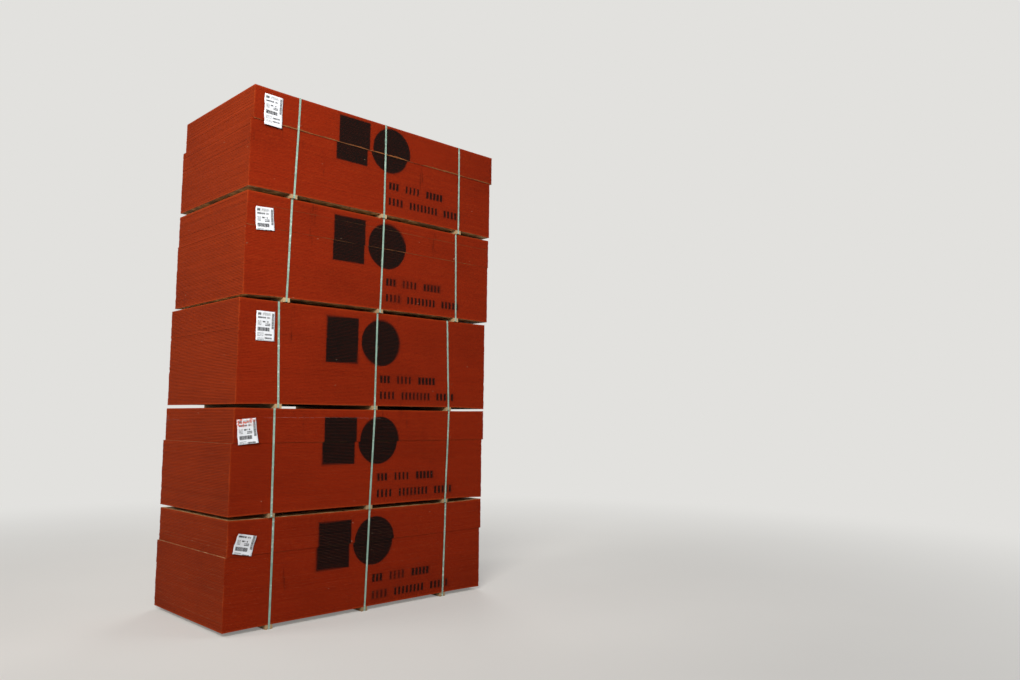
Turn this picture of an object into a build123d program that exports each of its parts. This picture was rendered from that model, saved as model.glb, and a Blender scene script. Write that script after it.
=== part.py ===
from build123d import *
from dataclasses import dataclass
import os
import random

# A stack of five strapped bundles of oriented strand board.
# Lengths are in millimetres. X runs along the long side of the sheets, Y along their short side, Z up.
# The origin is on the floor, under the middle of the stack's footprint.

# Sheets
sheet_length = 2438.4
sheet_width = 1219.2
sheet_thickness = 11.0
sheet_gap = 0.2
# A sheet is cut up to this much short of its nominal length and width.
trim_tolerance = 1.6
# The press line sets the sheets down in lifts, which can slip a little on each other.
sheets_in_lift = 23

# Runners, the grooved strips of wood that keep room for a fork under each bundle
runner_width = 57.0
runner_height = 33.0
runner_chamfer = 1.5
groove_width = 25.0
groove_depth = 4.0
# The outer runners stand this far in from the sheets' two ends, and the middle one halfway along.
near_runner_inset = 355.0
far_runner_inset = 415.0

# Polyester straps, one over each runner
strap_width = 16.0
strap_thickness = 0.9
# The strap's two ends are welded on each other, on the back of the bundle.
weld_length = 34.0
weld_height = 150.0

# Paper tag on the long face
tag_width = 150.0
tag_thickness = 0.4


@dataclass
class Tag:
    """A tag's place, its height, and its turn to the left in degrees."""

    # From the near runner's usual place back to the tag's right edge, and from the bundle's top to its foot
    from_runner: float
    from_top: float
    height: float
    turn: float


@dataclass
class Bundle:
    """What differs from bundle to bundle, in the bundle's own place."""

    # How far the bundle stands off the stack's middle line, along X and Y
    offset: tuple
    # How far each lift has slipped along X and Y, from the lowest up
    lift_slips: list
    # How far each strap is off its usual place along X, on the top sheet and at the runner under it
    top_shifts: tuple
    foot_shifts: tuple
    tag: Tag


# From the floor up
bundles = [
    Bundle(
        offset=(-24, 24),
        lift_slips=[(0, 0), (0, 0), (12, -4)],
        top_shifts=(11, 1.8, 2.6),
        foot_shifts=(6, -23.2, -15.4),
        tag=Tag(155, 230.6, 146, -12),
    ),
    Bundle(
        offset=(-20, 8),
        lift_slips=[(0, 0), (0, 0), (14, -5)],
        top_shifts=(-24, 16.8, 8.6),
        foot_shifts=(-18, -13.2, -18.4),
        tag=Tag(153, 268.6, 184, 6),
    ),
    Bundle(
        offset=(0, 6),
        lift_slips=[(0, 0), (2, 0), (2, 0)],
        top_shifts=(-37, 2.8, -41.4),
        foot_shifts=(-13, -5.2, -13.4),
        tag=Tag(67, 305.6, 222, 0),
    ),
    Bundle(
        offset=(20, -6),
        lift_slips=[(0, 0), (0, -1), (5, -4)],
        top_shifts=(17, 16.8, 10.6),
        foot_shifts=(-1, -1.2, 26.6),
        tag=Tag(123, 288.6, 174, 5),
    ),
    Bundle(
        offset=(22, -24),
        lift_slips=[(0, 0), (0, 0), (18, -8)],
        top_shifts=(45, -1.2, 16.6),
        foot_shifts=(22, 3.8, 26.6),
        tag=Tag(107, 286.6, 240, 0),
    ),
]

sheet_pitch = sheet_thickness + sheet_gap
lift_height = sheets_in_lift * sheet_pitch
runner_places = (near_runner_inset, sheet_length / 2, sheet_length - far_runner_inset)
low_corner = (Align.MIN, Align.MIN, Align.MIN)
mid_foot = (Align.CENTER, Align.MIN)


def sheets(bundle, seed):
    """All the sheets of a bundle, each a solid of its own. Z is 0 at the foot of the runners."""
    cut = random.Random(seed)
    made = []
    for lift, (slip_x, slip_y) in enumerate(bundle.lift_slips):
        for layer in range(sheets_in_lift):
            short_x = cut.uniform(0, trim_tolerance)
            short_y = cut.uniform(0, trim_tolerance)
            low_x = slip_x + cut.uniform(0, short_x)
            low_y = slip_y + cut.uniform(0, short_y)
            low_z = runner_height + lift * lift_height + layer * sheet_pitch
            sheet = Box(sheet_length - short_x, sheet_width - short_y, sheet_thickness, align=low_corner)
            made.append(Pos(low_x, low_y, low_z) * sheet)
    return Compound(made)


def bundle_height(bundle):
    """From the foot of the runners to the top of the highest sheet."""
    return runner_height + len(bundle.lift_slips) * lift_height - sheet_gap


def runner(place):
    """A sawn strip as long as the sheets are wide, with a groove for the strap along its underside."""
    section = Rectangle(runner_width, runner_height, align=mid_foot)
    section = chamfer(section.vertices(), runner_chamfer)
    section -= Rectangle(groove_width, groove_depth, align=mid_foot)
    return Pos(place, 0, 0) * extrude(Plane.XZ * section, amount=-sheet_width)


def strap(bundle, top, foot):
    """A tight loop round the sheets and through the runner's groove, leaning from its foot to its top.

    Seen along X, a tight strap follows the hull of what it holds.
    """
    held_edges = []
    grooved = Rectangle(sheet_width, runner_height - groove_depth, align=(Align.MIN, Align.MIN))
    held_edges += (Pos(0, groove_depth) * grooved).edges()
    for lift, (_, slip_y) in enumerate(bundle.lift_slips):
        side = Rectangle(sheet_width, lift_height - sheet_gap, align=(Align.MIN, Align.MIN))
        held_edges += (Pos(slip_y, runner_height + lift * lift_height) * side).edges()
    held = make_hull(held_edges)
    band = offset(held, amount=strap_thickness, kind=Kind.ARC) - held

    # The band is cut to the strap's width between two planes that lean along X.
    half_reach = abs(top - foot) + strap_width
    wide_band = Pos((top + foot) / 2, 0, 0) * extrude(Plane.YZ * band, amount=half_reach, both=True)
    height = bundle_height(bundle)
    foot_half = strap_width / 2
    leaning = Polygon(
        (foot - foot_half, 0),
        (foot + foot_half, 0),
        (top + foot_half, height + 2 * strap_thickness),
        (top - foot_half, height + 2 * strap_thickness),
        align=None,
    )
    slab = extrude(Plane.XZ * leaning, amount=sheet_width, both=True)
    slab = Pos(0, sheet_width / 2, 0) * slab
    loop = wide_band & slab

    # The weld is a second layer over a short length, on the back where the strap stands upright.
    weld_middle = runner_height + weld_height
    weld_x = foot + (top - foot) * weld_middle / height
    weld = Box(strap_width, strap_thickness, weld_length, align=(Align.CENTER, Align.MIN, Align.CENTER))
    weld = Pos(weld_x, sheet_width + strap_thickness, weld_middle) * weld
    return loop + weld


def tag(bundle):
    """A sheet of stiff paper, flat on the face of the highest lift."""
    face_y = bundle.lift_slips[-1][1]
    paper = Box(tag_width, tag_thickness, bundle.tag.height, align=(Align.MIN, Align.MAX, Align.MIN))
    # A right-handed turn about Y leans the tag's top towards +X, which is to the right.
    paper = Rot(0, -bundle.tag.turn, 0) * paper
    corner_x = near_runner_inset - bundle.tag.from_runner - tag_width
    corner_z = bundle_height(bundle) - bundle.tag.from_top
    return Pos(corner_x, face_y, corner_z) * paper


# Every piece in its place, by the name of its node
pieces = {}
floor_z = 0.0
for number, bundle in enumerate(bundles, start=1):
    place = Pos(bundle.offset[0], bundle.offset[1], floor_z)
    name = f"bundle_{number}"
    pieces[f"{name}_sheets"] = place * sheets(bundle, seed=number)
    pieces[f"{name}_tag"] = place * tag(bundle)
    shifts = zip(runner_places, bundle.top_shifts, bundle.foot_shifts)
    for position, (usual, top_shift, foot_shift) in enumerate(shifts, start=1):
        top = usual + top_shift
        foot = usual + foot_shift
        pieces[f"{name}_runner_{position}"] = place * runner(foot)
        pieces[f"{name}_strap_{position}"] = place * strap(bundle, top, foot)
    # The runners of the next bundle stand on this bundle's straps.
    floor_z += bundle_height(bundle) + strap_thickness

# The middle of the footprint goes to the origin.
footprint = Compound(list(pieces.values())).bounding_box()
to_origin = Pos(-footprint.center().X, -footprint.center().Y, -footprint.min.Z)
os.makedirs("parts", exist_ok=True)
for name, piece in pieces.items():
    placed = to_origin * piece
    placed.label = name
    export_step(placed, f"parts/{name}.step")
print("stack", footprint.size, "centre", footprint.center())
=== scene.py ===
import logging
import math
import random
from dataclasses import dataclass, field
from enum import Enum
from typing import Callable, Iterable, Union

import bpy
import numpy as np
from mathutils import Matrix, Vector


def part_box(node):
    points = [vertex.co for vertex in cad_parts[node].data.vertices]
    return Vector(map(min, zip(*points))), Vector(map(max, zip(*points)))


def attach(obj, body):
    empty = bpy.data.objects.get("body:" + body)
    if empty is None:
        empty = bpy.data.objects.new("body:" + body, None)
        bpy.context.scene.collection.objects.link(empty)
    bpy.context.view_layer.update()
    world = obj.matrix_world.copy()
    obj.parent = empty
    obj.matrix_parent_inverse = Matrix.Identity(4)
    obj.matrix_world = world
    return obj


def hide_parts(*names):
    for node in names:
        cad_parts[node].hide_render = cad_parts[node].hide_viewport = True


# A stack of five strapped bundles of oriented strand board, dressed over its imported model.
# Lengths are in metres. X runs along the long side of the boards, Y along their short side, Z up.
# The front is the long face towards -Y, and the near end is the short face towards -X.
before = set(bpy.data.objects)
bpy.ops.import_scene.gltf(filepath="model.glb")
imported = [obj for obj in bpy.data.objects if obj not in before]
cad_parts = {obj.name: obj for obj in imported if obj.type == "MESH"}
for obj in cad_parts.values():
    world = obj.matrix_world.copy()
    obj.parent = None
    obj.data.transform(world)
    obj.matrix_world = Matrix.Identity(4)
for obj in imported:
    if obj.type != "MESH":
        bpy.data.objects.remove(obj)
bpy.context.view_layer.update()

log = logging.getLogger("board_stack")

Piece = bpy.types.Object
Material = bpy.types.Material
Owner = Union[Material, bpy.types.World]
Number = Union["Field", float]
Colour = tuple[float, float, float]
Pair = tuple[float, float]
Place = tuple[float, float, float]


def srgb(red: int, green: int, blue: int) -> Colour:
    """A colour as it looks on a screen, 0 to 255, turned into the linear values that shaders take."""
    shares = [level / 255 for level in (red, green, blue)]
    return tuple(s / 12.92 if s <= 0.04045 else ((s + 0.055) / 1.055) ** 2.4 for s in shares)


def operator(operation: str, swapped: bool = False) -> Callable[..., "Field"]:
    """Makes a method of Field that adds a maths node.

    Args:
        operation: the node's operation.
        swapped: True for a reflected operator, whose other operand comes first.

    Returns:
        The method, which takes one other operand or none.
    """
    def method(self: "Field", *other: Number) -> "Field":
        """The operation on this field and the other operand."""
        return self.maths(operation, *other, self) if swapped else self.maths(operation, self, *other)
    return method


def axis(name: str) -> property:
    """Makes a property of Field that reads one axis of a vector, or one channel of a colour."""
    return property(lambda whole: whole.graph.add("ShaderNodeSeparateXYZ", {}, {"Vector": whole}, name))


class Field:
    """A socket of a shader graph. Maths on it is written as on numbers and adds the nodes."""

    def __init__(self, graph: "Graph", socket: bpy.types.NodeSocket) -> None:
        """Wraps an output socket of the graph's tree."""
        self.graph = graph
        self.socket = socket

    @property
    def is_number(self) -> bool:
        """True where the socket carries one number, and False for a vector or a colour."""
        return self.socket.type not in ("VECTOR", "RGBA")

    def maths(self, operation: str, *operands: Number) -> "Field":
        """Adds one Math node, or a Vector Math node where an operand is a vector or a colour.

        Args:
            operation: the node's operation.
            operands: the fields or numbers that it works on, in order.

        Returns:
            The result.
        """
        plain = all(operand.is_number for operand in operands if isinstance(operand, Field))
        kind = "ShaderNodeMath" if plain else "ShaderNodeVectorMath"
        return self.graph.add(kind, {"operation": operation}, dict(enumerate(operands)))

    __add__ = __radd__ = operator("ADD")
    __sub__ = operator("SUBTRACT")
    __rsub__ = operator("SUBTRACT", swapped=True)
    __mul__ = __rmul__ = operator("MULTIPLY")
    __truediv__ = operator("DIVIDE")
    __pow__ = operator("POWER")
    __mod__ = operator("FLOORED_MODULO")
    __gt__ = operator("GREATER_THAN")
    __lt__ = operator("LESS_THAN")
    __abs__ = operator("ABSOLUTE")
    floor = operator("FLOOR")
    sine = operator("SINE")
    # On outlines given as distances, least joins two of them and most keeps what they share.
    least = operator("MINIMUM")
    most = operator("MAXIMUM")
    x = axis("X")
    y = axis("Y")
    z = axis("Z")

    def __neg__(self) -> "Field":
        """0 - self"""
        return self * -1.0

    def rise(self, low: Number, high: Number) -> "Field":
        """0 below low, 1 above high and a smooth step between them."""
        inputs = {"Value": self, "From Min": low, "From Max": high}
        return self.graph.add("ShaderNodeMapRange", {"interpolation_type": "SMOOTHSTEP"}, inputs)

    def part(self, name: str) -> "Field":
        """Another output of the same node, such as a cell's colour beside its distance."""
        return Field(self.graph, self.graph.output(self.socket.node, name))

    def coat(self, colour: "Field | Colour", share: Number) -> "Field":
        """This colour with another laid over it, as far as the share says."""
        return self.graph.blend(self, colour, share)

    def noise(self, scale: float | Colour, detail: float = 2.0, roughness: float = 0.5) -> "Field":
        """Soft noise at this place, mostly from 0.3 to 0.7, by its waves in each metre and finer octaves."""
        inputs = {"Vector": self * scale, "Scale": 1.0, "Detail": detail, "Roughness": roughness}
        return self.graph.add("ShaderNodeTexNoise", {}, inputs)

    def cells(self, feature: str = "F1") -> "Field":
        """Flat cells of about unit size at this place, as the distance to their centre or rim."""
        settings = {"feature": feature, "voronoi_dimensions": "2D"}
        return self.graph.add("ShaderNodeTexVoronoi", settings, {"Vector": self, "Scale": 1.0})


class Graph:
    """The node tree of one new material or world."""

    def __init__(self, owner: Owner) -> None:
        """Empties the owner's tree.

        Args:
            owner: the new material or world.
        """
        owner.use_nodes = True
        self.owner = owner
        self.nodes = owner.node_tree.nodes
        self.links = owner.node_tree.links
        self.nodes.clear()

    @staticmethod
    def output(node: bpy.types.Node, name: str | None) -> bpy.types.NodeSocket:
        """The node's first live output, or the one of that name."""
        return next(s for s in node.outputs if s.enabled and name in (None, s.name))

    @staticmethod
    def _settle(node: bpy.types.Node, settings: dict) -> None:
        """Sets a node's settings, with a ramp's stops as (position, colour) pairs.

        Args:
            node: the node.
            settings: values by the name of the setting.
        """
        for name, value in settings.items():
            if name != "stops":
                setattr(node, name, value)
                continue
            ramp = node.color_ramp
            while len(ramp.elements) < len(value):
                ramp.elements.new(1.0)
            for element, (position, colour) in zip(ramp.elements, value):
                element.position = position
                element.color = (*colour, 1.0)

    def add(self, kind: str, settings: dict | None = None, inputs: dict | None = None,
            output: str | None = None) -> Field:
        """Adds any node.

        Args:
            kind: the node's type.
            settings: what is set on the node itself, before its sockets are filled.
            inputs: a field, number or tuple for each socket, by its name or index.
            output: the output's name, where it isn't the first.

        Returns:
            The output as a field.
        """
        node = self.nodes.new(kind)
        self._settle(node, settings or {})
        for key, value in (inputs or {}).items():
            if isinstance(key, int):
                socket = node.inputs[key]
            else:
                socket = next(s for s in node.inputs if s.enabled and s.name == key)
            if isinstance(value, Field):
                self.links.new(value.socket, socket)
            elif socket.type == "RGBA" and len(value) == 3:
                socket.default_value = (*value, 1.0)
            elif socket.type == "VECTOR" and not isinstance(value, tuple):
                socket.default_value = (value, value, value)
            else:
                socket.default_value = value
        return Field(self, self.output(node, output))

    def place(self) -> Field:
        """The point on the object, in metres."""
        return self.add("ShaderNodeTexCoord", output="Object")

    def facing(self) -> Field:
        """The way that the surface faces, along the object's own axes."""
        return self.add("ShaderNodeTexCoord", output="Normal")

    def uv(self, name: str) -> Field:
        """A place on the piece's own UV map, in metres."""
        return self.add("ShaderNodeUVMap", {"uv_map": name})

    def value(self, name: str) -> Field:
        """A number that the piece's mesh holds for each of its points."""
        return self.add("ShaderNodeAttribute", {"attribute_name": name}, output="Fac")

    def seen(self) -> Field:
        """1 for rays from the eye, from gloss and through glass, and 0 for those that light a surface."""
        rays = self.add("ShaderNodeLightPath", output="Is Camera Ray")
        return rays.most(rays.part("Is Glossy Ray")).most(rays.part("Is Transmission Ray"))

    def vector(self, x: Number, y: Number, z: Number) -> Field:
        """Three numbers joined into a vector."""
        return self.add("ShaderNodeCombineXYZ", {}, {"X": x, "Y": y, "Z": z})

    def blend(self, first: "Field | Colour", second: "Field | Colour", share: Number) -> Field:
        """Mixes two colours, from the first at a share of 0 to the second at 1."""
        settings = {"data_type": "RGBA", "clamp_factor": True}
        return self.add("ShaderNodeMix", settings, {"Factor": share, "A": first, "B": second})

    def between(self, first: Number, second: Number, share: Number) -> Field:
        """Mixes two numbers, from the first at a share of 0 to the second at 1."""
        return self.add("ShaderNodeMix", {"data_type": "FLOAT"}, {"Factor": share, "A": first, "B": second})

    def shade(self, colour: Field, roughness: Number, relief: Field, gloss: float) -> Material:
        """Ends the tree in a Principled shader.

        Args:
            colour: the base colour.
            roughness: the roughness.
            relief: how far the surface stands up, in metres, for the bump.
            gloss: the specular level.

        Returns:
            The finished material.
        """
        bump = self.add("ShaderNodeBump", {}, {"Distance": 1.0, "Height": relief})
        inputs = {"Base Color": colour, "Roughness": roughness, "Specular IOR Level": gloss, "Normal": bump}
        return self.finish(self.add("ShaderNodeBsdfPrincipled", {}, inputs))

    def finish(self, surface: Field, kind: str = "ShaderNodeOutputMaterial") -> Owner:
        """Links the surface to an output node of that kind, and gives back the tree's owner."""
        self.links.new(surface.socket, self.nodes.new(kind).inputs["Surface"])
        return self.owner


@dataclass(frozen=True)
class Finish:
    """The base of every finish."""

    name: str

    def material(self) -> Material:
        """Builds the finish as a new material."""
        raise NotImplementedError


@dataclass(frozen=True)
class Strands:
    """Flat strands of wood pressed over each other, as on the face of the board."""

    length: float = 0.105
    width: float = 0.019
    # The turn of each layer of strands from the board's length in degrees, and the share of it that shows
    layers: tuple[Pair, ...] = (
        (4, 1.0), (-27, 0.42), (48, 0.3), (-8, 0.45), (17, 0.42), (-62, 0.2), (-15, 0.4), (31, 0.34),
    )
    # How far each layer is shifted from the one under it
    layer_shift: Pair = (0.37, 0.73)
    tones: tuple[tuple[float, Colour], ...] = (
        (0.0, srgb(118, 78, 44)),
        (0.16, srgb(166, 118, 70)),
        (0.42, srgb(198, 152, 98)),
        (0.7, srgb(214, 173, 119)),
        (1.0, srgb(231, 199, 150)),
    )
    # The colour of the painted shade in the gaps along each strand's rim
    rim_shade: Colour = srgb(84, 52, 28)
    strand_relief: float = 0.0005

    def lay(self, graph: Graph, place: Field) -> tuple[Field, Field]:
        """Lays the strands, each layer over the last.

        Args:
            graph: the tree that takes the nodes.
            place: the point on the face, with the board's length along X.

        Returns:
            The colour and the relief in metres.
        """
        colour = None
        relief = None
        warp = place.noise(9.0) - 0.5
        for number, (turn, share) in enumerate(self.layers):
            shift = (number * self.layer_shift[0], number * self.layer_shift[1], 0)
            inputs = {"Vector": place, "Rotation": (0, 0, math.radians(turn)), "Location": shift}
            turned = graph.add("ShaderNodeMapping", {"vector_type": "POINT"}, inputs)
            bowed = turned + graph.vector(0.0, warp * 0.02, 0.0)
            grid = bowed * (1 / self.length, 1 / self.width, 1.0)
            cell = grid.cells().part("Color")
            rim = grid.cells("DISTANCE_TO_EDGE")
            grain = bowed.noise((14.0, 700.0, 1.0))
            tone = cell.y + (grain - 0.5) * 0.5
            wood = graph.add("ShaderNodeValToRGB", {"stops": self.tones}, {"Fac": tone})
            # Painted shade along each strand's rim
            wood = wood.coat(self.rim_shade, 1 - rim.rise(0.0, 0.07))
            height = (cell.z * 0.7 + rim.rise(0.0, 0.1) * 0.6 + grain * 0.15) * self.strand_relief
            if colour is None:
                colour, relief = wood, height
                continue
            shown = (cell.x < share) * rim.rise(0.02, 0.05)
            colour = colour.coat(wood, shown)
            relief = graph.between(relief, height + self.strand_relief * 0.4, shown)
        return colour, relief


@dataclass(frozen=True)
class YardMarks:
    """Plain black shapes sprayed through a stencil on the front: a block, a disc and two rows of strokes.

    Places are from the left end of the boards and up from the underside of the lowest one.
    """

    block_middle: Pair = (0.892, 0.530)
    block_half: Pair = (0.150, 0.186)
    disc_middle: Pair = (1.268, 0.530)
    disc_radius: float = 0.194
    # The rows of strokes: height above the underside, and each group's start, end and weight
    rows: tuple = (
        (0.228, ((1.262, 1.372, 1.0), (1.432, 1.598, 0.75), (1.664, 1.858, 1.1))),
        (0.094, ((1.258, 1.424, 0.85), (1.482, 1.804, 0.85), (1.864, 2.074, 1.0))),
    )
    stroke_pitch: float = 0.0385
    stroke_half: Pair = (0.0125, 0.031)
    ink: Colour = srgb(10, 10, 8)

    def outline(self, across: Field, up: Field) -> Field:
        """The distance to the nearest shape, less than 0 inside it.

        Args:
            across: the place along the face.
            up: the place up the face.

        Returns:
            The distance in metres.
        """
        block_across = abs(across - self.block_middle[0])
        block_up = abs(up - self.block_middle[1])
        block = (block_across - self.block_half[0]).most(block_up - self.block_half[1])
        disc_across = across - self.disc_middle[0]
        disc_up = up - self.disc_middle[1]
        disc = (disc_across * disc_across + disc_up * disc_up) ** 0.5 - self.disc_radius
        nearest = block.least(disc)
        for height, groups in self.rows:
            row_up = abs(up - height) - self.stroke_half[1]
            for start, end, weight in groups:
                count = round((end - start) / self.stroke_pitch)
                pitch = (end - start) / count
                stroke = abs((across - start) % pitch - pitch / 2) - self.stroke_half[0] * weight
                inside = abs(across - (start + end) / 2) - (end - start) / 2
                nearest = nearest.least(stroke.most(inside).most(row_up))
        return nearest

    def sprayed(self, place: Field, face: Field) -> Field:
        """Sprays the shapes with soft rims and a thin mist round them.

        Args:
            place: the point on the object.
            face: its place on the front, along and up.

        Returns:
            How much ink lies there, from 0 to 1.
        """
        ragged = (place.noise(90.0) - 0.5) * 0.007
        distance = self.outline(face.x, face.y) + ragged
        softness = 0.005 + place.noise(3.1, 1.0).rise(0.46, 0.7) * 0.014
        body = 1 - (distance / softness).rise(-1.0, 1.0)
        mist = (1 - distance.rise(0.0, 0.05)) * place.noise(260.0, 1.0).rise(0.45, 0.65) * 0.25
        thin = 1 - place.noise((5.0, 5.0, 60.0), 3.0).rise(0.55, 0.8) * 0.01
        return (body * thin).most(mist)


@dataclass(frozen=True)
class SealedEdge(Finish):
    """The sprayed red seal on the cut edges of the boards."""

    pitch: float
    # A board's length and width
    size: Pair
    marks: YardMarks = YardMarks()
    front_red: Colour = srgb(128, 33, 8)
    end_red: Colour = srgb(135, 43, 9)
    deep_red: Colour = srgb(78, 16, 3)
    worn_red: Colour = srgb(166, 66, 24)
    bare_wood: Colour = srgb(136, 84, 48)
    strand_end: Colour = srgb(74, 42, 22)
    # The colour of the painted shade in the joints, gapes and voids, and of the dark scuffs
    gap_shade_and_scuff: Colour = srgb(44, 12, 5)
    speck: Colour = srgb(226, 206, 178)
    # How far a joint's line of painted shade reaches over a board's edge, from its darkest to its end
    joint_reach: Pair = (0.0003, 0.0028)
    corner_reach: float = 0.013
    gloss: float = 0.04

    def material(self) -> Material:
        """Builds the finish: seal, painted shade in the joints, gapes and voids, strand ends, wear, chips,
        scuffs and the sprayed marks.

        Returns:
            The material.
        """
        graph = Graph(bpy.data.materials.new(self.name))
        place = graph.place()
        face = graph.uv("face_place")
        plan = graph.uv("plan_place")
        facing = graph.facing()
        on_end = abs(facing.x).rise(0.6, 0.8)
        on_front = (-facing.y).rise(0.6, 0.8)

        # The seal has a broad unevenness, its own tone on each board, and the strands' ends under it.
        tone = graph.value("board_tone")
        own = graph.vector(place.x, place.y, tone * 97.0)
        broad = place.noise((1.3, 1.3, 2.6), 4.0)
        mottle = place.noise((52.0, 52.0, 84.0), 4.0, 0.7)
        fibre = place.noise((42.0, 42.0, 640.0), 3.0, 0.6)
        streak = own.noise((2.6, 2.6, 1.0), 3.0)
        seal = graph.blend(self.front_red, self.end_red, on_end)
        seal = seal.coat(self.deep_red, broad.rise(0.42, 0.72) * 0.22)
        seal = seal.coat(self.deep_red, tone * (0.1 + on_end * 0.06))
        seal = seal.coat(self.deep_red, mottle.rise(0.48, 0.7) * 0.16)
        seal = seal.coat(self.worn_red, (1 - mottle).rise(0.48, 0.7) * 0.16)
        seal = seal.coat(self.deep_red, fibre.rise(0.5, 0.75) * 0.3)
        seal = seal.coat(self.worn_red, streak.rise(0.52, 0.72) * (0.06 + on_end * 0.06))

        # Painted shade in thin lines where two boards meet, broken along their length, and in wide bands
        # where they gape
        in_board = (face.y / self.pitch) % 1.0
        to_joint = (0.5 - abs(in_board - 0.5)) * self.pitch
        broken = own.noise((3.6, 3.6, 1.0), 3.0).rise(0.36, 0.62)
        evenness = graph.between(0.5 + broken * 0.5, 0.8 + broken * 0.2, on_end)
        joint = (1 - to_joint.rise(*self.joint_reach)) * evenness * (0.26 + on_end * 0.68)
        gape_share = graph.value("gape_share")
        gape_shade = graph.between(gape_share.rise(0.45, 0.95), gape_share, on_end)
        gape_shade = gape_shade * (1 - in_board.rise(0.08, 0.4)) * (0.35 + broken * 0.65)
        joint = joint.most(gape_shade)
        seal = seal.coat(self.gap_shade_and_scuff, joint)

        # Painted shade in small voids between strands
        pits = place.noise((95.0, 95.0, 520.0), 1.0).rise(0.69, 0.75)
        seal = seal.coat(self.gap_shade_and_scuff, pits * 0.75)

        # Uneven wear down the upright corners, and along the lowest and highest boards
        to_corner_front = plan.x.least(self.size[0] - plan.x)
        to_corner_end = plan.y.least(self.size[1] - plan.y)
        to_corner = graph.between(to_corner_front, to_corner_end, on_end)
        ragged = (place.noise(30.0, 3.0) - 0.5) * 0.024
        corner = 1 - (to_corner + ragged).rise(0.0, self.corner_reach)
        corner = corner * place.noise((0.2, 0.2, 3.4), 4.0).rise(0.36, 0.66)
        seal = seal.coat(self.worn_red, corner * (0.3 + on_end * 0.35))
        seal = seal.coat(self.worn_red, graph.value("worn_share"))

        # Scuffs up and down the face
        scuff = place.noise((11.0, 11.0, 2.1)).rise(0.64, 0.74)
        scuff = scuff * place.noise((85.0, 85.0, 9.0)).rise(0.5, 0.66)
        seal = seal.coat(self.gap_shade_and_scuff, scuff * 0.45)

        # The ink lies over the seal, on the front alone.
        ink = self.marks.sprayed(place, graph.uv("marks_place")) * on_front
        ink = ink * (1 - pits * 0.1)
        seal = seal.coat(self.marks.ink, ink)

        # Chips, and boards that the seal covers only in part
        along = graph.between(place.x, place.y, on_end)
        torn = place.noise(240.0) * 0.06
        chip_cell = graph.vector(along * 5.0, place.z * 11.0, 0.0).cells()
        chip = (1 - (chip_cell + torn).rise(0.03, 0.05)) * (chip_cell.part("Color").x < 0.07)
        bare = graph.value("bare_share") * (1 - on_end * 0.85)
        bare = bare * own.noise((3.4, 3.4, 1.0), 4.0).rise(0.32, 0.62)
        frayed = (place.noise((26.0, 26.0, 130.0), 3.0) - 0.5) * 0.6
        uncovered = (bare - in_board + frayed * bare).rise(-0.02, 0.06) * bare.rise(0.0, 0.05)
        strand_ends = place.noise((16.0, 16.0, 500.0), 3.0, 0.6).rise(0.42, 0.66)
        wood = graph.blend(self.bare_wood, self.strand_end, strand_ends * 0.8)
        colour = seal.coat(wood, uncovered).coat(self.speck, chip)

        roughness = 0.7 + (fibre - 0.5) * 0.3 + uncovered * 0.15 - ink * 0.08
        relief = fibre * 0.0004 - joint * 0.0005 - pits * 0.0007 - chip * 0.0005 - uncovered * 0.0003
        return graph.shade(colour, roughness, relief, self.gloss)


@dataclass(frozen=True)
class BareFace(Finish):
    """The bare strands of a board's face, with a little of the seal's spray along its rim and painted shade
    on its underside.
    """

    # A board's length and width
    size: Pair
    spray: Colour
    # The colour of the painted shade on the faces that look down
    dark_patches: Colour = srgb(80, 67, 50)
    dust: Colour = srgb(196, 178, 150)
    strands: Strands = Strands()

    def material(self) -> Material:
        """Builds the finish: strands, dust, painted shade on the underside and the spray's rim.

        Returns:
            The material.
        """
        graph = Graph(bpy.data.materials.new(self.name))
        place = graph.place()
        plan = graph.uv("plan_place")
        colour, relief = self.strands.lay(graph, place + graph.vector(place.z * 0.31, place.z * 0.47, 0.0))
        dust = place.noise(1.7, 3.0).rise(0.45, 0.8)
        colour = colour.coat(self.dust, dust * 0.22)
        # Painted shade on the faces that look down, in patches
        under = (-graph.facing().z).rise(0.3, 0.6)
        dark_patches = place.noise((9.0, 14.0, 3.0), 4.0, 0.6).rise(0.4, 0.62)
        colour = colour.coat(self.dark_patches, under * (0.22 + dark_patches * 0.6))
        to_rim = plan.x.least(self.size[0] - plan.x).least(plan.y).least(self.size[1] - plan.y)
        ragged = (place.noise(60.0, 3.0) - 0.5) * 0.03
        colour = colour.coat(self.spray, (1 - (to_rim + ragged).rise(-0.002, 0.014)) * 0.85)
        return graph.shade(colour, 0.74 + dust * 0.12, relief, 0.3)


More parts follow.
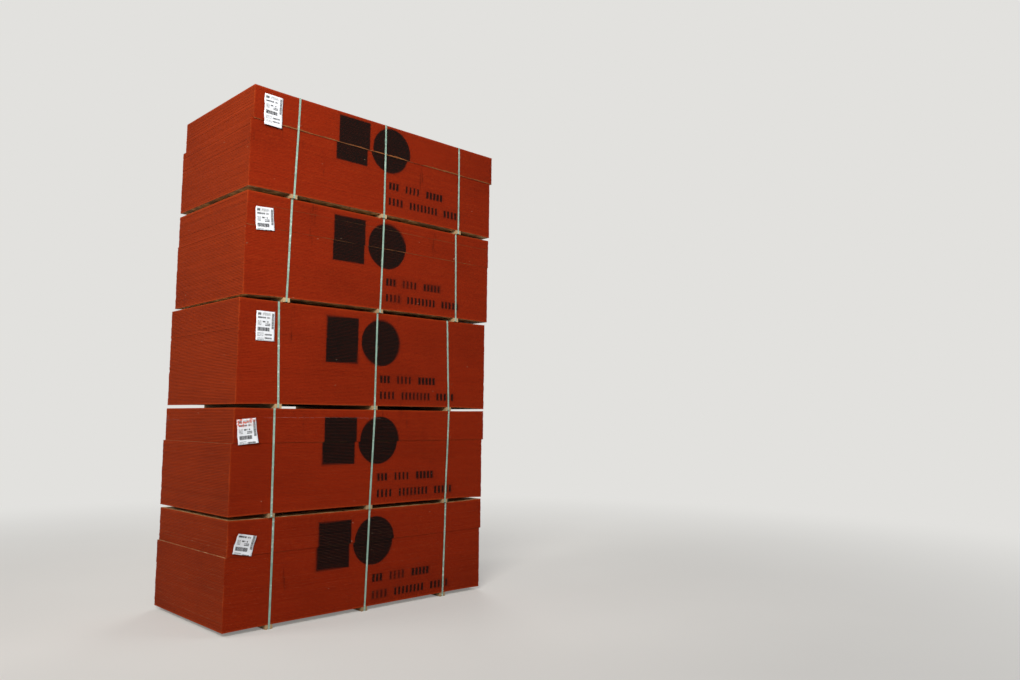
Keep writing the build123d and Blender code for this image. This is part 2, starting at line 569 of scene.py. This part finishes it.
@dataclass(frozen=True)
class SawnWood(Finish):
    """Rough-sawn softwood whose rings run along Y, seen as grain on the sides and as rings on the ends."""

    runner_spacing: float
    level_height: float
    ring: float = 0.0042
    pale: Colour = srgb(188, 158, 118)
    late: Colour = srgb(146, 112, 76)
    # The colour of dirt, and of the painted shade on the runners' sides
    grime_and_side_shade: Colour = srgb(92, 72, 50)

    def material(self) -> Material:
        """Builds the finish: rings about a pith that differs from runner to runner, saw marks, dirt and
        painted shade on the sides.

        Returns:
            The material.
        """
        graph = Graph(bpy.data.materials.new(self.name))
        place = graph.place()
        column = (place.x / self.runner_spacing + 0.5).floor()
        level = (place.z / self.level_height + 0.01).floor()
        inputs = {"Vector": graph.vector(column, level, 0.0)}
        chance = graph.add("ShaderNodeTexWhiteNoise", {"noise_dimensions": "2D"}, inputs, "Color")
        wander = (place.noise((5.0, 1.1, 5.0), 3.0) - 0.5) * 0.02
        across = place.x - column * self.runner_spacing - (chance.x - 0.5) * 0.12 + wander
        up = place.z - level * self.level_height + 0.02 + chance.y * 0.07 + wander
        radius = (across * across + up * up) ** 0.5
        ring = (radius / self.ring) % 1.0
        late = ring.rise(0.35, 0.95) * (1 - ring.rise(0.95, 1.0))
        pores = place.noise((900.0, 30.0, 900.0))
        wood = graph.blend(self.pale, self.late, late * 0.55 + (pores - 0.5) * 0.5)
        # Dirt in patches and from runner to runner, and painted shade on the sides, which leaves the ends
        # lighter
        dark_patches = place.noise((9.0, 2.0, 9.0), 4.0).rise(0.42, 0.75)
        on_side = 1 - abs(graph.facing().y).rise(0.5, 0.8)
        wood = wood.coat(self.grime_and_side_shade, (dark_patches * (0.15 + on_side * 0.45)).most(chance.z * 0.6))
        saw = place.noise((5.0, 420.0, 5.0), 1.0) * on_side
        relief = pores * 0.0003 + saw * 0.0005 + late * 0.0002
        return graph.shade(wood, 0.78 + (pores - 0.5) * 0.2, relief, 0.3)


@dataclass(frozen=True)
class StrapPlastic(Finish):
    """Pale green polyester strap, embossed with a fine waffle and dulled by dust, with painted shade in its
    creases and painted glints on some lengths.
    """

    green: Colour = srgb(131, 160, 146)
    shade: Colour = srgb(98, 126, 112)
    dust: Colour = srgb(206, 216, 204)
    glint: Colour = srgb(214, 228, 218)
    waffle: float = 0.0021

    def material(self) -> Material:
        """Builds the finish: embossing, creases with painted shade, small hollows with painted glints, and
        dust.

        Returns:
            The material.
        """
        graph = Graph(bpy.data.materials.new(self.name))
        place = graph.place()
        along = place.y + place.z
        turn = math.tau / self.waffle
        emboss = ((place.x + along * 0.5) * turn).sine() * ((place.x - along * 0.5) * turn).sine()
        crease = place.noise((30.0, 16.0, 16.0), 3.0)
        rub = place.noise((4.0, 90.0, 90.0), 3.0).rise(0.5, 0.75)
        # Painted shade in the creases
        green = graph.blend(self.green, self.shade, crease.rise(0.42, 0.68) * 0.55)
        green = green.coat(self.dust, rub * 0.4)
        # Small dents with painted glints, on some lengths of strap only
        dented = place.noise((1.9, 1.9, 1.3), 1.0).rise(0.54, 0.62)
        dent_and_glint = place.noise((60.0, 75.0, 75.0), 1.0).rise(0.6, 0.68) * dented
        green = green.coat(self.glint, dent_and_glint * 0.7)
        relief = emboss * 0.00005 + crease * 0.0011 + dent_and_glint * 0.0004
        return graph.shade(green, 0.5 + rub * 0.2, relief, 0.36)


class Print(Enum):
    """How a block of a tag's print is filled."""

    SOLID = "solid"
    DASHES = "dashes"
    BARS = "bars"
    RUNGS = "rungs"


@dataclass(frozen=True)
class PrintBlock:
    """A block of print, placed from the tag's left edge and down from its top."""

    left: float
    top: float
    right: float
    bottom: float
    fill: Print
    strength: float


def text_lines(left: float, right: float, tops: Iterable[float], height: float,
               strength: float) -> list[PrintBlock]:
    """Broken lines of one width that stand for small print, one for each top."""
    return [PrintBlock(left, top, right, top + height, Print.DASHES, strength) for top in tops]


@dataclass(frozen=True)
class TagPaper(Finish):
    """White paper with plain grey lines and bars, which stand for a lot tag's print."""

    ink: Colour = srgb(24, 25, 30)
    paper: Colour = srgb(212, 216, 222)
    cloudy: Colour = srgb(196, 194, 190)
    spray: Colour = srgb(198, 72, 34)
    sprayed: bool = False
    # The print of one tag, from its top down
    blocks: tuple[PrintBlock, ...] = (
        PrintBlock(0.012, 0.013, 0.038, 0.031, Print.SOLID, 0.85),
        *text_lines(0.050, 0.114, (0.013, 0.020, 0.027), 0.0042, 0.65),
        PrintBlock(0.014, 0.043, 0.110, 0.055, Print.DASHES, 0.9),
        *text_lines(0.014, 0.042, (0.074, 0.083, 0.092, 0.101), 0.0056, 0.7),
        *text_lines(0.052, 0.100, (0.074,), 0.011, 0.9),
        *text_lines(0.074, 0.114, (0.091, 0.102), 0.0078, 0.85),
        PrintBlock(0.014, 0.122, 0.110, 0.150, Print.BARS, 1.0),
        *text_lines(0.012, 0.064, (0.163, 0.173, 0.183, 0.201, 0.211), 0.0052, 0.65),
        PrintBlock(0.072, 0.170, 0.130, 0.182, Print.BARS, 0.95),
        PrintBlock(0.072, 0.196, 0.130, 0.208, Print.BARS, 0.95),
        PrintBlock(0.126, 0.013, 0.143, 0.132, Print.RUNGS, 0.95),
    )

    def _fill(self, graph: Graph, block: PrintBlock, across: Field, down: Field) -> Number:
        """Inks a block of print.

        Args:
            graph: the tree that takes the nodes.
            block: the block.
            across: the place from the tag's left edge.
            down: the place from its top.

        Returns:
            How dense the ink is at each place within the block.
        """
        if block.fill is Print.SOLID:
            return block.strength
        if block.fill is Print.DASHES:
            dashes = graph.vector(across * 150, block.top * 900, 0.0).noise(1.0, 0.0)
            return dashes.rise(0.36, 0.4) * block.strength
        along = across if block.fill is Print.BARS else down
        bars = graph.vector(along * 520, 0.0, 0.0).noise(1.0, 1.0)
        return bars.rise(0.42, 0.47) * block.strength

    def material(self) -> Material:
        """Builds the finish: print, fibres, creases and, on one tag, spray from the boards.

        Returns:
            The material.
        """
        graph = Graph(bpy.data.materials.new(self.name))
        place = graph.place()
        tag_place = graph.uv("tag_place")
        across = tag_place.x
        down = tag_place.y
        inked = None
        for block in self.blocks:
            in_width = (across > block.left) * (across < block.right)
            in_height = (down > block.top) * (down < block.bottom)
            dense = in_width * in_height * self._fill(graph, block, across, down)
            inked = dense if inked is None else inked.most(dense)
        cloud = place.noise(30.0, 4.0)
        paper = graph.blend(self.paper, self.cloudy, cloud.rise(0.5, 0.78) * 0.5)
        colour = paper.coat(self.ink, inked * (-graph.facing().y).rise(0.0, 0.2))
        if self.sprayed:
            drops = place.noise(70.0, 3.0).rise(0.47, 0.6)
            ragged = (place.noise(16.0) - 0.5) * 0.1
            reach = 1 - (down + across * 0.25 + ragged).rise(0.03, 0.105)
            colour = colour.coat(self.spray, reach * drops * 0.85)
        return graph.shade(colour, 0.62, cloud * 0.0012, 0.4)


@dataclass(frozen=True)
class StudioPaint(Finish):
    """The plain pale ground, which passes into the surround far from the stack."""

    surround: Colour
    pale: Colour = srgb(222, 220, 216)
    cloudy: Colour = srgb(208, 206, 202)
    # Where the ground starts to pass into the surround, and where it has
    fade: Pair = (2.5, 10.0)

    def material(self) -> Material:
        """Builds the finish: an even pale ground with a faint cloudiness.

        Returns:
            The material.
        """
        graph = Graph(bpy.data.materials.new(self.name))
        place = graph.place()
        colour = graph.blend(self.pale, self.cloudy, place.noise(0.35, 3.0).rise(0.3, 0.7) * 0.3)
        inputs = {"Base Color": colour, "Roughness": 0.8, "Specular IOR Level": 0.15}
        ground = graph.add("ShaderNodeBsdfPrincipled", {}, inputs)
        glow = graph.add("ShaderNodeEmission", {}, {"Color": self.surround})
        away = (place.x * place.x + place.y * place.y) ** 0.5
        inputs = {0: (0.25 + away.rise(*self.fade) * 0.75) * graph.seen(), 1: ground, 2: glow}
        return graph.finish(graph.add("ShaderNodeMixShader", {}, inputs))


class Bench:
    """Small moves that every piece is modelled with."""

    @staticmethod
    def pick(*pieces: Piece) -> None:
        """Selects these objects alone, and makes the first one active.

        Args:
            pieces: the objects.
        """
        bpy.ops.object.select_all(action="DESELECT")
        for piece in pieces:
            piece.select_set(True)
        bpy.context.view_layer.objects.active = pieces[0]

    @staticmethod
    def block(name: str, low: Vector, high: Vector) -> Piece:
        """Adds a cube primitive that fills a box, with its place in its mesh.

        Args:
            name: the object's name.
            low: the box's lowest corner.
            high: the box's highest corner.

        Returns:
            The block.
        """
        bpy.ops.object.select_all(action="DESELECT")
        bpy.ops.mesh.primitive_cube_add(size=1.0, location=(low + high) / 2, scale=high - low)
        piece = bpy.context.object
        piece.name = name
        bpy.ops.object.transform_apply(location=True, rotation=True, scale=True)
        return piece

    @staticmethod
    def points(mesh: bpy.types.Mesh) -> np.ndarray:
        """The places of a mesh's points, one row each."""
        return np.array([point.co for point in mesh.vertices])

    @staticmethod
    def note(mesh: bpy.types.Mesh, name: str, value: float) -> None:
        """Gives every point of a mesh the same number, under a name that its finish reads."""
        attribute = mesh.attributes.new(name, "FLOAT", "POINT")
        attribute.data.foreach_set("value", np.full(len(mesh.vertices), value, np.float32))

    @staticmethod
    def map_points(mesh: bpy.types.Mesh, name: str, across: np.ndarray, up: np.ndarray) -> None:
        """Adds a UV map that holds two numbers of each point."""
        pairs = [(across[loop.vertex_index], up[loop.vertex_index]) for loop in mesh.loops]
        mesh.uv_layers.new(name=name).data.foreach_set("uv", np.ravel(pairs).astype(np.float32))

    @staticmethod
    def bend(piece: Piece, counts: tuple[int, int, int], move: Callable[[Vector], Vector]) -> None:
        """Bends a piece by dragging the points of a cage round it.

        Args:
            piece: the piece, whose place is in its mesh.
            counts: how many points the cage has along X, Y and Z.
            move: gives a cage point's shift in metres from its place in the cage, 0 to 1 along each axis.
        """
        places = Bench.points(piece.data)
        low = Vector(places.min(axis=0))
        high = Vector(places.max(axis=0))
        size = Vector(max(length, 0.001) for length in high - low)
        bpy.ops.object.select_all(action="DESELECT")
        bpy.ops.object.add(type="LATTICE", location=(low + high) / 2)
        cage = bpy.context.object
        cage.scale = size
        cage.data.points_u, cage.data.points_v, cage.data.points_w = counts
        cage.data.interpolation_type_u = "KEY_CARDINAL"
        cage.data.interpolation_type_w = "KEY_CARDINAL"
        for point in cage.data.points:
            shift = move(point.co + Vector((0.5, 0.5, 0.5)))
            point.co_deform = point.co + Vector(along / length for along, length in zip(shift, size))
        bend = piece.modifiers.new("cage", "LATTICE")
        bend.object = cage
        Bench.pick(piece)
        bpy.ops.object.modifier_apply(modifier=bend.name)
        bpy.data.objects.remove(cage)


@dataclass(frozen=True)
class Seam:
    """The joint under one board, where it shows more than the others."""

    # The board over the joint, counted from 0 at the bottom
    board: int
    # How much of the board's edge the seal leaves bare, and how dark the painted shade of the joint's gape
    # is, from 0 to 1
    bare: float
    gape_shade: float


@dataclass
class BoardBundle:
    """The boards of one bundle: one board is modelled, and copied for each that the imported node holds."""

    node: str
    # How far its lowest board sags and its highest one lifts, at its near and far end
    sag: Pair
    lift: Pair
    # How far the marks on this bundle lie from their usual place, along and up
    marks_shift: Pair
    seams: tuple[Seam, ...]
    seed: int
    arris: float = 0.0008
    # The boards are cut for their flex over this length at each end, and the flex fades out just past it.
    free_end: float = 0.3
    free_steps: int = 3
    fade_out: float = 0.02
    # How steeply the flex grows towards the end, and towards the lowest and highest board
    end_steepness: float = 1.7
    layer_steepness: float = 1.6
    # Boards set down together are at most so many, and lie at most this far in from the ends and long faces.
    group: int = 4
    end_step: float = 0.0028
    face_step: float = 0.0009
    # The darkest painted shade of the gape under such a group, from 0 to 1
    group_gape_shade: float = 0.4
    # How worn the edges of the lowest and the highest board are
    worn_outside: float = 0.24
    # How many points the cage that bends it has along X, Y and Z
    cage: tuple[int, int, int] = (17, 2, 6)

    def boxes(self) -> list[tuple[Vector, Vector]]:
        """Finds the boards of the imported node.

        Returns:
            The lowest and highest corner of each board, from the floor up.
        """
        places = Bench.points(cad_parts[self.node].data)
        levels = np.unique(places[:, 2].round(5))
        found = []
        for low_z, high_z in zip(levels[::2], levels[1::2]):
            own = places[(places[:, 2] > low_z - 0.0001) & (places[:, 2] < high_z + 0.0001)]
            found.append((Vector(own.min(axis=0)), Vector(own.max(axis=0))))
        return found

    def model_board(self, low: Vector, high: Vector, seal: Material, strands: Material) -> Piece:
        """Models one board: a slab cut across where it can flex, with its arrises broken.

        Args:
            low: the board's lowest corner.
            high: its highest corner.
            seal: the material of its cut edges.
            strands: the material of its two faces.

        Returns:
            The board.
        """
        board = Bench.block("board", low, high)
        bpy.ops.object.mode_set(mode="EDIT")
        for step in range(1, self.free_steps + 1):
            reach = self.free_end * step / self.free_steps
            for cut in (low.x + reach, high.x - reach):
                bpy.ops.mesh.select_all(action="SELECT")
                bpy.ops.mesh.bisect(plane_co=(cut, 0, 0), plane_no=(1, 0, 0))
        bpy.ops.mesh.select_all(action="DESELECT")
        bpy.ops.mesh.edges_select_sharp(sharpness=math.radians(30))
        bpy.ops.mesh.bevel(offset=self.arris, segments=1, affect="EDGES")
        bpy.ops.object.mode_set(mode="OBJECT")
        board.data.materials.append(seal)
        board.data.materials.append(strands)
        for face in board.data.polygons:
            face.material_index = int(abs(face.normal.z) > 0.9)
        return board

    def place_board(self, board: Piece, low: Vector, high: Vector, base: float) -> Piece:
        """Copies the board into one layer, and notes where each point lies on the bundle's faces.

        Args:
            board: the modelled board.
            low: the layer's lowest corner.
            high: its highest corner.
            base: the height of the bundle's lowest board.

        Returns:
            The copy, with its place in its mesh.
        """
        copy = board.copy()
        copy.data = board.data.copy()
        bpy.context.collection.objects.link(copy)
        modelled = Bench.points(board.data)
        model_low = Vector(modelled.min(axis=0))
        model_size = Vector(modelled.max(axis=0)) - model_low
        size = high - low
        scale = Matrix.Diagonal([length / model for length, model in zip(size, model_size)]).to_4x4()
        copy.data.transform(Matrix.Translation(low) @ scale @ Matrix.Translation(-model_low))
        places = Bench.points(copy.data)
        across = places[:, 0] - low.x
        up = places[:, 2] - base
        Bench.map_points(copy.data, "face_place", across, up)
        Bench.map_points(copy.data, "marks_place", across - self.marks_shift[0], up - self.marks_shift[1])
        Bench.map_points(copy.data, "plan_place", across, places[:, 1] - low.y)
        return copy

    def build(self, seal: Material, strands: Material) -> Piece:
        """Builds all the boards as one piece that takes the node's place.

        Args:
            seal: the material of the cut edges.
            strands: the material of the faces.

        Returns:
            The finished piece.
        """
        draw = random.Random(self.seed)

        def step() -> Vector:
            """How far in the next boards lie at one end."""
            return Vector((draw.uniform(0, self.end_step), draw.uniform(0, self.face_step), 0))
        boxes = self.boxes()
        board = self.model_board(*boxes[0], seal, strands)
        base = boxes[0][0].z
        seams = {seam.board: seam for seam in self.seams}
        layers = []
        left_in_group = 0
        for number, (low, high) in enumerate(boxes):
            gape_shade = 0.0
            if left_in_group == 0:
                left_in_group = draw.randint(1, self.group)
                near_step = step()
                far_step = step()
                gape_shade = draw.uniform(0.0, self.group_gape_shade)
            left_in_group -= 1
            layer = self.place_board(board, low + near_step, high - far_step, base)
            seam = seams.get(number, Seam(number, 0.0, gape_shade))
            worn = self.worn_outside if number in (0, len(boxes) - 1) else 0.0
            Bench.note(layer.data, "board_tone", draw.random())
            Bench.note(layer.data, "bare_share", seam.bare)
            Bench.note(layer.data, "gape_share", seam.gape_shade)
            Bench.note(layer.data, "worn_share", worn)
            layers.append(layer)
        bpy.data.objects.remove(board)
        Bench.pick(*layers)
        bpy.ops.object.join()
        boards = layers[0]
        boards.name = f"{self.node}_flexed"
        Bench.bend(boards, self.cage, self.flex_at)
        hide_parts(self.node)
        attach(boards, "root")
        log.info("%s: %d boards, %d faces", boards.name, len(layers), len(boards.data.polygons))
        return boards

    def flex_at(self, share: Vector) -> Vector:
        """How far the boards leave their flat place.

        Args:
            share: the place in the bundle, as shares of its size.

        Returns:
            The shift in metres.
        """
        low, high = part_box(self.node)
        along = share.x * (high.x - low.x)
        near = share.x < 0.5
        reach = along if near else high.x - low.x - along
        free = max(0.0, 1 - reach / (self.free_end + self.fade_out))
        end = 0 if near else 1
        sag = self.sag[end] * (1 - share.z) ** self.layer_steepness
        lift = self.lift[end] * share.z ** self.layer_steepness
        return Vector((0, 0, (lift - sag) * free ** self.end_steepness))


@dataclass
class PaperTag:
    """A paper tag stapled on a bundle's front, with its corners curled off the boards."""

    node: str
    # How far each corner stands off the face: lower left, lower right, upper left, upper right
    curl: tuple[float, float, float, float]
    # How much of the top is folded over or torn off, which moves the print up
    print_start: float = 0.0
    # How far the paper's waves stand off the face, and how many radians of wave its width and height hold
    ripple: float = 0.002
    waves: Pair = (4.0, 13.0)
    # How steeply the curl grows towards a corner
    steepness: float = 2.2
    sprayed: bool = False
    columns: int = 14
    rows: int = 20
    thickness: float = 0.0003
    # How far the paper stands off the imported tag's front
    stand_off: float = 0.0002
    # How many points the cage that curls it has along X, Y and Z
    cage: tuple[int, int, int] = (7, 1, 9)

    def corners(self) -> list[Vector]:
        """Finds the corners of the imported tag's front.

        Returns:
            Its lower left, lower right, upper right and upper left corner.
        """
        places = Bench.points(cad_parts[self.node].data)
        front = places[places[:, 1] < places[:, 1].min() + 0.0001]
        middle = front.mean(axis=0)
        unique = {tuple(point.round(5)) for point in front}

        def turn(point: tuple) -> float:
            """The point's angle about the tag's middle."""
            return math.atan2(point[2] - middle[2], point[0] - middle[0])
        return [Vector(point) for point in sorted(unique, key=turn)]

    def lean(self, share: Vector) -> Vector:
        """How far the paper stands off the face.

        Args:
            share: the place on the tag, as shares of its width and height.

        Returns:
            The shift in metres.
        """
        lower_left, lower_right, upper_left, upper_right = self.curl
        right = share.x ** self.steepness
        left = (1 - share.x) ** self.steepness
        top = share.z ** self.steepness
        bottom = (1 - share.z) ** self.steepness
        off = bottom * (left * lower_left + right * lower_right)
        off += top * (left * upper_left + right * upper_right)
        wave = 0.5 + 0.5 * math.sin(self.waves[0] * share.x + self.waves[1] * share.z)
        return Vector((0, -off - self.ripple * wave * max(top, bottom, left), 0))

    def build(self, paper: Material) -> Piece:
        """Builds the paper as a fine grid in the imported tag's place.

        Args:
            paper: its material.

        Returns:
            The tag.
        """
        corner, right, _, top = self.corners()
        across = right - corner
        up = top - corner
        bpy.ops.object.select_all(action="DESELECT")
        bpy.ops.mesh.primitive_grid_add(x_subdivisions=self.columns, y_subdivisions=self.rows, size=1.0)
        tag = bpy.context.object
        tag.name = f"{self.node}_curled"
        bpy.ops.object.mode_set(mode="EDIT")
        bpy.ops.transform.translate(value=(0.5, 0.5, 0))
        bpy.ops.transform.rotate(value=-math.pi / 2, orient_axis="X", center_override=(0, 0, 0))
        bpy.ops.object.mode_set(mode="OBJECT")
        flat = Bench.points(tag.data)
        down = self.print_start + (1 - flat[:, 2]) * up.length
        Bench.map_points(tag.data, "tag_place", flat[:, 0] * across.length, down)
        tag.data.transform(Matrix.Diagonal((across.length, 1, up.length)).to_4x4())
        Bench.bend(tag, self.cage, self.lean)
        turn = Matrix.Rotation(-math.atan2(across.z, across.x), 4, "Y")
        tag.data.transform(Matrix.Translation(corner + Vector((0, -self.stand_off, 0))) @ turn)
        body = tag.modifiers.new("body", "SOLIDIFY")
        body.thickness = self.thickness
        body.offset = 0.0
        Bench.pick(tag)
        bpy.ops.object.modifier_apply(modifier=body.name)
        bpy.ops.object.shade_smooth()
        tag.data.materials.append(paper)
        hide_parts(self.node)
        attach(tag, "root")
        log.info("%s: %d faces", tag.name, len(tag.data.polygons))
        return tag


@dataclass
class CarriedNodes:
    """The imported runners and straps, which stay as they are and take a finish."""

    wood: Material
    plastic: Material

    def dress(self) -> None:
        """Gives every runner the wood and every strap the plastic."""
        finishes = {"_runner_": ("runner_wood", self.wood), "_strap_": ("strap_band", self.plastic)}
        for name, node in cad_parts.items():
            for part, (slot, finish) in finishes.items():
                if part in name:
                    node.data.materials.clear()
                    node.data.materials.append(finish)
                    log.info("%s: %s", name, finish.name)


@dataclass(frozen=True)
class PhotoCamera:
    """The camera, at the photograph's place and angle."""

    place: Place = (-3.927, -6.177, 1.545)
    # Turn from +Y towards +X, tilt above the horizon, and roll, in degrees
    yaw: float = 44.47
    tilt: float = 5.56
    roll: float = 0.38
    focal_pixels: float = 811.4
    photo_width: float = 1020.0
    sensor: float = 36.0

    def build(self) -> Piece:
        """Adds the camera and makes it the scene's own.

        Returns:
            The camera.
        """
        data = bpy.data.cameras.new("photo_camera")
        data.sensor_width = self.sensor
        data.lens = self.focal_pixels / self.photo_width * self.sensor
        data.clip_end = 200.0
        camera = bpy.data.objects.new("photo_camera", data)
        turn = Matrix.Rotation(-math.radians(self.yaw), 4, "Z")
        rise = Matrix.Rotation(math.pi / 2 + math.radians(self.tilt), 4, "X")
        roll = Matrix.Rotation(math.radians(self.roll), 4, "Z")
        camera.matrix_world = Matrix.Translation(self.place) @ turn @ rise @ roll
        bpy.context.scene.collection.objects.link(camera)
        bpy.context.scene.camera = camera
        log.info("camera with a lens of %.1f mm", data.lens)
        return camera


@dataclass(frozen=True)
class SoftLight:
    """A large area lamp."""

    name: str
    place: Place
    target: Place
    size: float
    power: float
    # How wide the lamp shines, in degrees
    spread: float = 180.0
    colour: Colour = (1.0, 1.0, 1.0)

    def build(self) -> Piece:
        """Adds the lamp, turned to its target.

        Returns:
            The lamp.
        """
        data = bpy.data.lights.new(self.name, "AREA")
        data.shape = "SQUARE"
        data.size = self.size
        data.energy = self.power
        data.spread = math.radians(self.spread)
        data.color = self.colour
        lamp = bpy.data.objects.new(self.name, data)
        lamp.location = self.place
        lamp.rotation_mode = "QUATERNION"
        lamp.rotation_quaternion = (Vector(self.target) - Vector(self.place)).to_track_quat("-Z", "Y")
        bpy.context.scene.collection.objects.link(lamp)
        return lamp


@dataclass(frozen=True)
class Studio:
    """A plain pale floor, a pale surround and soft lamps."""

    ground_radius: float = 60.0
    surround: Colour = srgb(226, 225, 222)
    ambient: float = 0.36
    lamps: tuple[SoftLight, ...] = (
        SoftLight("key_lamp", (-5.4, -5.4, 5.4), (0.0, 0.0, 3.3), 3.0, 176.0, 80.0, (1.0, 0.97, 0.93)),
        SoftLight("fill_lamp", (5.0, -6.5, 6.0), (0.0, 0.0, 2.6), 3.5, 90.0),
        SoftLight("end_lamp", (-7.0, 2.0, 5.5), (0.0, 0.0, 2.8), 3.0, 160.0, 180.0, (1.0, 0.97, 0.93)),
        SoftLight("back_lamp", (5.5, 6.5, 5.5), (0.0, 0.0, 2.2), 3.5, 190.0),
    )

    def build(self) -> None:
        """Adds the floor, the world and the lamps."""
        bpy.ops.object.select_all(action="DESELECT")
        bpy.ops.mesh.primitive_circle_add(vertices=96, radius=self.ground_radius, fill_type="NGON")
        floor = bpy.context.object
        floor.name = "studio_floor"
        floor.data.materials.append(StudioPaint("studio_paint", self.surround).material())
        self._surround()
        for lamp in self.lamps:
            lamp.build()
        bpy.context.scene.view_settings.view_transform = "Standard"
        log.info("studio with %d lamps", len(self.lamps))

    def _surround(self) -> None:
        """Lights the scene evenly, and shows a pale backdrop to the eye, to gloss and through glass."""
        graph = Graph(bpy.data.worlds.new("surround"))
        light = graph.add("ShaderNodeBackground", {}, {"Color": (1.0, 1.0, 1.0), "Strength": self.ambient})
        backdrop = graph.add("ShaderNodeBackground", {}, {"Color": self.surround, "Strength": 1.0})
        choice = graph.add("ShaderNodeMixShader", {}, {0: graph.seen(), 1: light, 2: backdrop})
        bpy.context.scene.world = graph.finish(choice, "ShaderNodeOutputWorld")


@dataclass
class Stack:
    """The whole stack, from the floor up."""

    bundles: list[BoardBundle] = field(default_factory=lambda: [
        BoardBundle("bundle_1_sheets", (0.004, 0.006), (0.003, 0.008), (-0.004, -0.012),
                    (Seam(23, 0.0, 0.55), Seam(46, 0.1, 1.0)), 11),
        BoardBundle("bundle_2_sheets", (0.005, 0.009), (0.002, 0.004), (0.008, -0.006),
                    (Seam(46, 0.12, 1.0),), 12),
        BoardBundle("bundle_3_sheets", (0.006, 0.012), (0.002, 0.002), (-0.006, -0.006), (), 13),
        BoardBundle("bundle_4_sheets", (0.009, 0.004), (0.001, 0.002), (0.005, 0.010),
                    (Seam(46, 0.32, 0.9), Seam(61, 0.2, 0.9)), 14),
        BoardBundle("bundle_5_sheets", (0.003, 0.005), (0.005, 0.001), (0.0, 0.030),
                    (Seam(46, 0.85, 0.5),), 15),
    ])
    tags: list[PaperTag] = field(default_factory=lambda: [
        PaperTag("bundle_1_tag", (0.004, 0.006, 0.03, 0.018), print_start=0.03, ripple=0.008),
        PaperTag("bundle_2_tag", (0.003, 0.022, 0.003, 0.004), ripple=0.004, sprayed=True),
        PaperTag("bundle_3_tag", (0.003, 0.004, 0.004, 0.002), ripple=0.003),
        PaperTag("bundle_4_tag", (0.002, 0.003, 0.014, 0.003), ripple=0.004),
        PaperTag("bundle_5_tag", (0.006, 0.004, 0.003, 0.005), ripple=0.009),
    ])

    def build(self) -> None:
        """Builds the boards and tags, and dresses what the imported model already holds."""
        first = self.bundles[0].boxes()
        low, high = first[0]
        pitch = first[1][0].z - low.z
        size = (high.x - low.x, high.y - low.y)
        seal = SealedEdge("sealed_edge", pitch, size)
        bare = BareFace("bare_face", size, seal.front_red)
        seal_material = seal.material()
        bare_material = bare.material()
        for bundle in self.bundles:
            bundle.build(seal_material, bare_material)
        plain = TagPaper("tag_paper").material()
        misted = TagPaper("tag_paper_misted", sprayed=True).material()
        for tag in self.tags:
            tag.build(misted if tag.sprayed else plain)
        middle_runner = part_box("bundle_1_runner_2")
        last_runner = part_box("bundle_1_runner_3")
        spacing = last_runner[0].x - middle_runner[0].x
        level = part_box("bundle_2_runner_1")[0].z
        wood = SawnWood("sawn_wood", spacing, level).material()
        CarriedNodes(wood, StrapPlastic("strap_plastic").material()).dress()


def main() -> None:
    """Builds the camera, the stack and the studio."""
    logging.basicConfig(level=logging.INFO, format="%(message)s")
    PhotoCamera().build()
    Stack().build()
    Studio().build()


if __name__ == "__main__":
    main()
